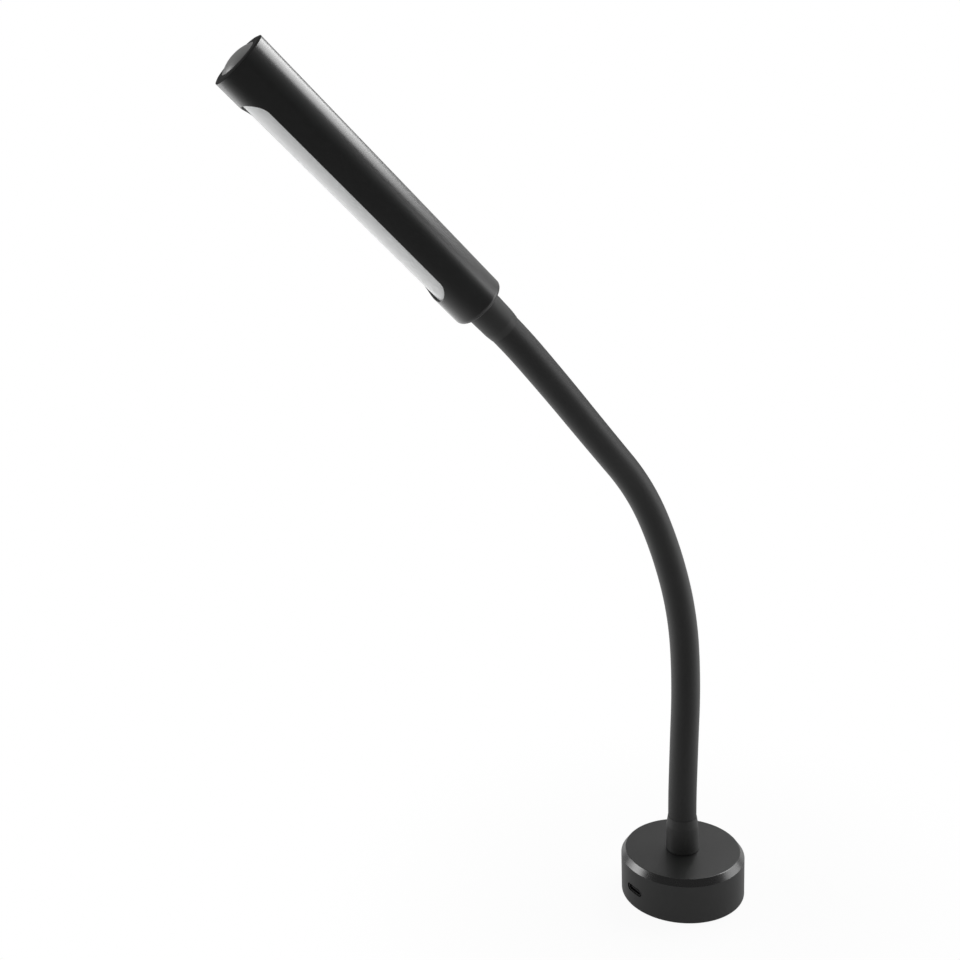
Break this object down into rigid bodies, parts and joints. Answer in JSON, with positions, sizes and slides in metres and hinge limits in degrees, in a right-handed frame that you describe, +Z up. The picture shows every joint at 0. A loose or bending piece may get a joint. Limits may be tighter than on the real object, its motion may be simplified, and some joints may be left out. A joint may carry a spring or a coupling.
{
  "type": "gooseneck desk lamp",
  "caption": "Slim black gooseneck desk lamp: a round weighted base, a bendable rubber-sleeved neck and a tubular head with a long slotted diffuser and a push switch at its tip.",
  "frame": {"origin": "middle of the foot pad's underside, on the table", "axes": "+Z up; the neck bends in the XZ plane, and the head reaches towards -X; the power inlet faces -X"},
  "size_m": [0.2314, 0.06, 0.3934],
  "materials": {
    "base_black": "satin",
    "head_black": "satin",
    "ferrule_black": "matte",
    "ring_black": "matte",
    "ballast_iron": "as cast",
    "plate_steel": "zinc plated",
    "pad_rubber": "matte",
    "screw_steel": "zinc plated",
    "inlet_steel": "polished",
    "inlet_plastic": "matte",
    "board_green": "satin",
    "component_black": "matte",
    "connector_white": "matte",
    "carrier_aluminium": "as extruded",
    "light_board_white": "gloss",
    "led_yellow": "gloss",
    "diffuser_clear": "satin",
    "button_grey": "satin",
    "sleeve_rubber": "satin",
    "coil_steel": "matte",
    "lead_sheath": "matte"
  },
  "bodies": {
    "base": {"base_housing": "base_black", "ballast_weight": "ballast_iron", "bottom_plate": "plate_steel", "foot_pad": "pad_rubber", "plate_screws": "screw_steel", "inlet_shell": "inlet_steel", "inlet_tongue": "inlet_plastic", "power_board": "board_green", "board_screws": "screw_steel", "board_components": "component_black", "lead_connector": "connector_white", "lower_ferrule": "ferrule_black", "base_washer": "screw_steel", "base_nut": "screw_steel", "neck_sleeve_0": "sleeve_rubber", "neck_coil_0": "coil_steel", "lead_0": "lead_sheath"},
    "neck_link_1": {"neck_sleeve_1": "sleeve_rubber", "neck_coil_1": "coil_steel", "lead_1": "lead_sheath"},
    "neck_link_2": {"neck_sleeve_2": "sleeve_rubber", "neck_coil_2": "coil_steel", "lead_2": "lead_sheath"},
    "neck_link_3": {"neck_sleeve_3": "sleeve_rubber", "neck_coil_3": "coil_steel", "lead_3": "lead_sheath"},
    "neck_link_4": {"neck_sleeve_4": "sleeve_rubber", "neck_coil_4": "coil_steel", "lead_4": "lead_sheath"},
    "neck_link_5": {"neck_sleeve_5": "sleeve_rubber", "neck_coil_5": "coil_steel", "lead_5": "lead_sheath"},
    "neck_link_6": {"neck_sleeve_6": "sleeve_rubber", "neck_coil_6": "coil_steel", "lead_6": "lead_sheath"},
    "neck_link_7": {"neck_sleeve_7": "sleeve_rubber", "neck_coil_7": "coil_steel", "lead_7": "lead_sheath"},
    "head": {"neck_sleeve_8": "sleeve_rubber", "neck_coil_8": "coil_steel", "lead_8": "lead_sheath", "upper_ferrule": "ferrule_black", "head_washer": "screw_steel", "head_nut": "screw_steel", "head_tube": "head_black", "diffuser": "diffuser_clear", "light_carrier": "carrier_aluminium", "light_board": "light_board_white", "leds": "led_yellow", "head_connector": "connector_white", "tip_ring": "ring_black", "switch_board": "board_green", "switch_body": "component_black"},
    "button": {"push_button": "button_grey", "switch_plunger": "button_grey"}
  },
  "joints": [
    {"name": "neck_lean_1", "type": "hinge", "parent": "base", "child": "neck_link_1", "pos_m": [0.00033, 0, 0.0576], "axis": [0, -1, 0], "range_deg": [-12, 14]},
    {"name": "neck_lean_2", "type": "hinge", "parent": "neck_link_1", "child": "neck_link_2", "pos_m": [0.00183, 0, 0.09196], "axis": [0, -1, 0], "range_deg": [-12, 14]},
    {"name": "neck_swing_3", "type": "hinge", "parent": "neck_link_2", "child": "neck_link_3", "pos_m": [0.00162, 0, 0.12635], "axis": [-0.9981, 0, -0.061], "range_deg": [-25, 25]},
    {"name": "neck_lean_4", "type": "hinge", "parent": "neck_link_3", "child": "neck_link_4", "pos_m": [-0.00411, 0, 0.1602], "axis": [0, -1, 0], "range_deg": [-12, 14]},
    {"name": "neck_curl_5", "type": "hinge", "parent": "neck_link_4", "child": "neck_link_5", "pos_m": [-0.01594, 0, 0.19246], "axis": [0, -1, 0], "range_deg": [-15, 12]},
    {"name": "neck_swing_6", "type": "hinge", "parent": "neck_link_5", "child": "neck_link_6", "pos_m": [-0.03456, 0, 0.22124], "axis": [-0.7524, 0, -0.6587], "range_deg": [-25, 25]},
    {"name": "neck_curl_7", "type": "hinge", "parent": "neck_link_6", "child": "neck_link_7", "pos_m": [-0.05706, 0, 0.24726], "axis": [0, -1, 0], "range_deg": [-15, 12]},
    {"name": "neck_curl_8", "type": "hinge", "parent": "neck_link_7", "child": "head", "pos_m": [-0.07974, 0, 0.27313], "axis": [0, -1, 0], "range_deg": [-15, 12]},
    {"name": "switch_press", "type": "slide", "parent": "head", "child": "button", "axis": [0.7145, 0, -0.6997], "range_m": [0, 0.001], "stiffness_N_per_m": 800, "springref_m": -0.001}
  ],
  "couplings": [
    {"joint": "neck_lean_2", "follows": "neck_lean_1", "ratio": 1},
    {"joint": "neck_lean_4", "follows": "neck_lean_1", "ratio": 1},
    {"joint": "neck_curl_7", "follows": "neck_curl_5", "ratio": 1},
    {"joint": "neck_curl_8", "follows": "neck_curl_5", "ratio": 1},
    {"joint": "neck_swing_6", "follows": "neck_swing_3", "ratio": 1}
  ]
}
